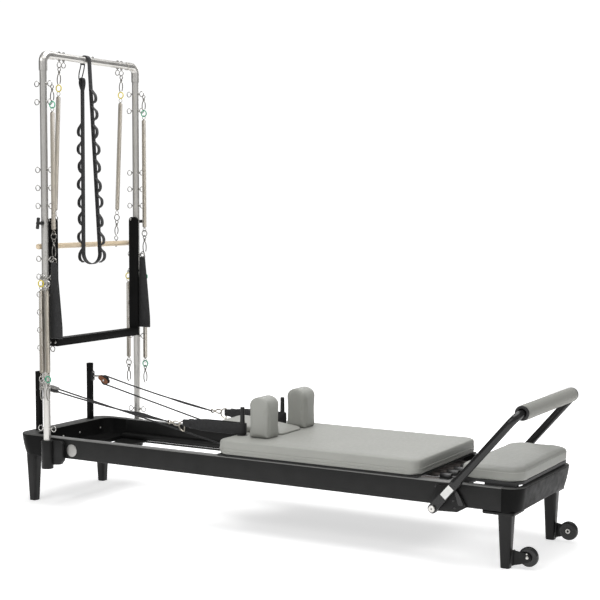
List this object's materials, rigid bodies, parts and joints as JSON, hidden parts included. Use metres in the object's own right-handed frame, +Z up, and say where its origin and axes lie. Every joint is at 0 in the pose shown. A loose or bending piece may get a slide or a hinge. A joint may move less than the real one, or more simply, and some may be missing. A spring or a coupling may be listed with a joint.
{
  "type": "pilates reformer with half-trapeze tower",
  "caption": "Sprung sliding carriage on a rail frame with foot bar, rope pulleys and a tubular tower that carries springs, straps, a push-through bar and a roll-down bar.",
  "frame": {"origin": "on the floor under the middle of the machine's bounding box", "axes": "+X towards the foot end, +Y to the far side, +Z up"},
  "size_m": [2.48, 0.784, 2.047],
  "materials": {
    "frame_black": "fine-textured satin black powder coat",
    "tower_steel": "polished stainless tube",
    "spring_nickel": "warm nickel-plated spring wire",
    "upholstery_grey": "matt warm-grey upholstery vinyl with a fine grain",
    "grip_foam": "matt grey padded sleeve",
    "webbing_black": "woven black webbing",
    "rope_black": "braided black rope",
    "beech": "clear-lacquered beech",
    "caster_rubber": "black rubber tread",
    "plastic_black": "moulded black plastic",
    "pulley_brass": "bronze-brown pulley block",
    "board_black": "black-painted board",
    "bright_steel": "bright plated eye bolts, screws and hooks",
    "coated_yellow": "yellow plastic-dipped ring",
    "coated_green": "green plastic-dipped ring",
    "blank_label": "blank pale sticker"
  },
  "bodies": {
    "frame": {"head_casting": "frame_black", "foot_casting": "frame_black", "rail_near": "frame_black", "rail_far": "frame_black", "head_leg_near": "frame_black", "head_leg_far": "frame_black", "foot_leg_near": "frame_black", "foot_leg_far": "frame_black", "tower_socket_near": "frame_black", "tower_socket_far": "frame_black", "riser_near": "frame_black", "riser_far": "frame_black", "spring_bar": "frame_black", "footbar_bracket_near": "frame_black", "footbar_bracket_far": "frame_black", "caster_fork_near": "frame_black", "caster_fork_far": "frame_black", "tower_post_near": "tower_steel", "tower_post_far": "tower_steel", "tower_elbow_near": "tower_steel", "tower_elbow_far": "tower_steel", "tower_crossbar": "tower_steel", "platform_cushion": "upholstery_grey", "rope_near": "rope_black", "rope_far": "rope_black", "pulley_block_near": "pulley_brass", "pulley_block_far": "pulley_brass", "platform_board": "board_black"},
    "carriage": {"carriage_base": "board_black", "carriage_cushion": "upholstery_grey", "carriage_springs": "spring_nickel", "strap_peg_near": "plastic_black", "strap_peg_far": "plastic_black", "hand_strap_near": "webbing_black", "hand_strap_far": "webbing_black"},
    "wheelset_head_body": {"wheelset_head": "plastic_black"},
    "wheelset_foot_body": {"wheelset_foot": "plastic_black"},
    "headrest_body": {"headrest": "upholstery_grey"},
    "shoulder_rest_near_body": {"shoulder_rest_near": "upholstery_grey"},
    "shoulder_rest_far_body": {"shoulder_rest_far": "upholstery_grey"},
    "foot_bar": {"footbar_frame": "frame_black", "footbar_grip": "grip_foam"},
    "push_bar": {"push_through_bar": "frame_black"},
    "knob": {"lock_knob": "plastic_black"},
    "roll_down_set": {"roll_down_bar": "beech", "roll_down_spring_near": "spring_nickel", "roll_down_spring_far": "spring_nickel"},
    "upper_hanger_near": {"upper_spring_near": "spring_nickel", "tower_strap_near": "webbing_black"},
    "caster_near": {"caster_wheel_near": "caster_rubber"},
    "sheave_near": {"pulley_sheave_near": "plastic_black"},
    "lower_hanger_near_head": {"lower_spring_near_head": "spring_nickel"},
    "lower_hanger_near_foot": {"lower_spring_near_foot": "spring_nickel"},
    "upper_hanger_far": {"upper_spring_far": "spring_nickel", "tower_strap_far": "webbing_black"},
    "caster_far": {"caster_wheel_far": "caster_rubber"},
    "sheave_far": {"pulley_sheave_far": "plastic_black"},
    "lower_hanger_far_head": {"lower_spring_far_head": "spring_nickel"},
    "lower_hanger_far_foot": {"lower_spring_far_foot": "spring_nickel"},
    "long_loop": {"loop_strap": "webbing_black"}
  },
  "joints": [
    {"name": "carriage_slide", "type": "slide", "parent": "frame", "child": "carriage", "axis": [1, 0, 0], "range_m": [-0.76, 0], "stiffness_N_per_m": 150, "springref_m": 0.05, "deforming": ["carriage_springs", "rope_near", "rope_far"]},
    {"name": "wheelset_head_roll", "type": "hinge", "parent": "carriage", "child": "wheelset_head_body", "pos_m": [0.07, 0, 0.2703], "axis": [0, 1, 0], "continuous": true},
    {"name": "wheelset_foot_roll", "type": "hinge", "parent": "carriage", "child": "wheelset_foot_body", "pos_m": [0.505, 0, 0.2703], "axis": [0, 1, 0], "continuous": true},
    {"name": "headrest_tilt", "type": "hinge", "parent": "carriage", "child": "headrest_body", "pos_m": [0.033, 0, 0.3835], "axis": [0, 1, 0], "range_deg": [0, 30]},
    {"name": "shoulder_rest_near_lift", "type": "slide", "parent": "carriage", "child": "shoulder_rest_near_body", "axis": [0, 0, 1], "range_m": [0, 0.1]},
    {"name": "shoulder_rest_far_lift", "type": "slide", "parent": "carriage", "child": "shoulder_rest_far_body", "axis": [0, 0, 1], "range_m": [0, 0.1]},
    {"name": "foot_bar_fold", "type": "hinge", "parent": "frame", "child": "foot_bar", "pos_m": [0.853, 0, 0.213], "axis": [0, -1, 0], "range_deg": [-55, 45]},
    {"name": "push_bar_swing", "type": "hinge", "parent": "frame", "child": "push_bar", "pos_m": [-1.04, 0, 1.28], "axis": [0, 1, 0], "range_deg": [-110, 4]},
    {"name": "knob_turn", "type": "hinge", "parent": "frame", "child": "knob", "pos_m": [-1.04, -0.384, 1.28], "axis": [0, 1, 0], "range_deg": [-90, 90]},
    {"name": "roll_down_swing", "type": "hinge", "parent": "frame", "child": "roll_down_set", "pos_m": [-1.04, 0, 1.99], "axis": [0, 1, 0], "range_deg": [0, 40]},
    {"name": "upper_hanger_near_swing", "type": "hinge", "parent": "frame", "child": "upper_hanger_near", "pos_m": [-0.99, -0.338, 1.886], "axis": [0, 1, 0], "range_deg": [-60, 0]},
    {"name": "upper_hanger_far_swing", "type": "hinge", "parent": "frame", "child": "upper_hanger_far", "pos_m": [-0.99, 0.338, 1.886], "axis": [0, 1, 0], "range_deg": [-60, 0]},
    {"name": "lower_hanger_near_head_swing", "type": "hinge", "parent": "frame", "child": "lower_hanger_near_head", "pos_m": [-1.041, -0.368, 1.031], "axis": [0, 1, 0], "range_deg": [0, 45]},
    {"name": "lower_hanger_near_foot_swing", "type": "hinge", "parent": "frame", "child": "lower_hanger_near_foot", "pos_m": [-1.012, -0.368, 1.031], "axis": [0, 1, 0], "range_deg": [-45, 0]},
    {"name": "lower_hanger_far_head_swing", "type": "hinge", "parent": "frame", "child": "lower_hanger_far_head", "pos_m": [-1.09, 0.338, 1.031], "axis": [0, 1, 0], "range_deg": [0, 45]},
    {"name": "lower_hanger_far_foot_swing", "type": "hinge", "parent": "frame", "child": "lower_hanger_far_foot", "pos_m": [-0.99, 0.338, 1.031], "axis": [0, 1, 0], "range_deg": [-45, 0]},
    {"name": "long_loop_swing", "type": "hinge", "parent": "frame", "child": "long_loop", "pos_m": [-1.04, -0.032, 2.024], "axis": [0, 1, 0], "range_deg": [-15, 0]},
    {"name": "caster_near_roll", "type": "hinge", "parent": "frame", "child": "caster_near", "pos_m": [1.202, -0.233, 0.048], "axis": [0, 1, 0], "continuous": true},
    {"name": "sheave_near_spin", "type": "hinge", "parent": "frame", "child": "sheave_near", "pos_m": [-1.122, -0.188, 0.511], "axis": [0.2419, 0, 0.9703], "continuous": true},
    {"name": "caster_far_roll", "type": "hinge", "parent": "frame", "child": "caster_far", "pos_m": [1.202, 0.233, 0.048], "axis": [0, 1, 0], "continuous": true},
    {"name": "sheave_far_spin", "type": "hinge", "parent": "frame", "child": "sheave_far", "pos_m": [-1.122, 0.188, 0.511], "axis": [0, 1, 0], "continuous": true}
  ],
  "couplings": [
    {"joint": "wheelset_head_roll", "follows": "carriage_slide", "rad_per_m": 45.455},
    {"joint": "wheelset_foot_roll", "follows": "carriage_slide", "rad_per_m": 45.455}
  ]
}
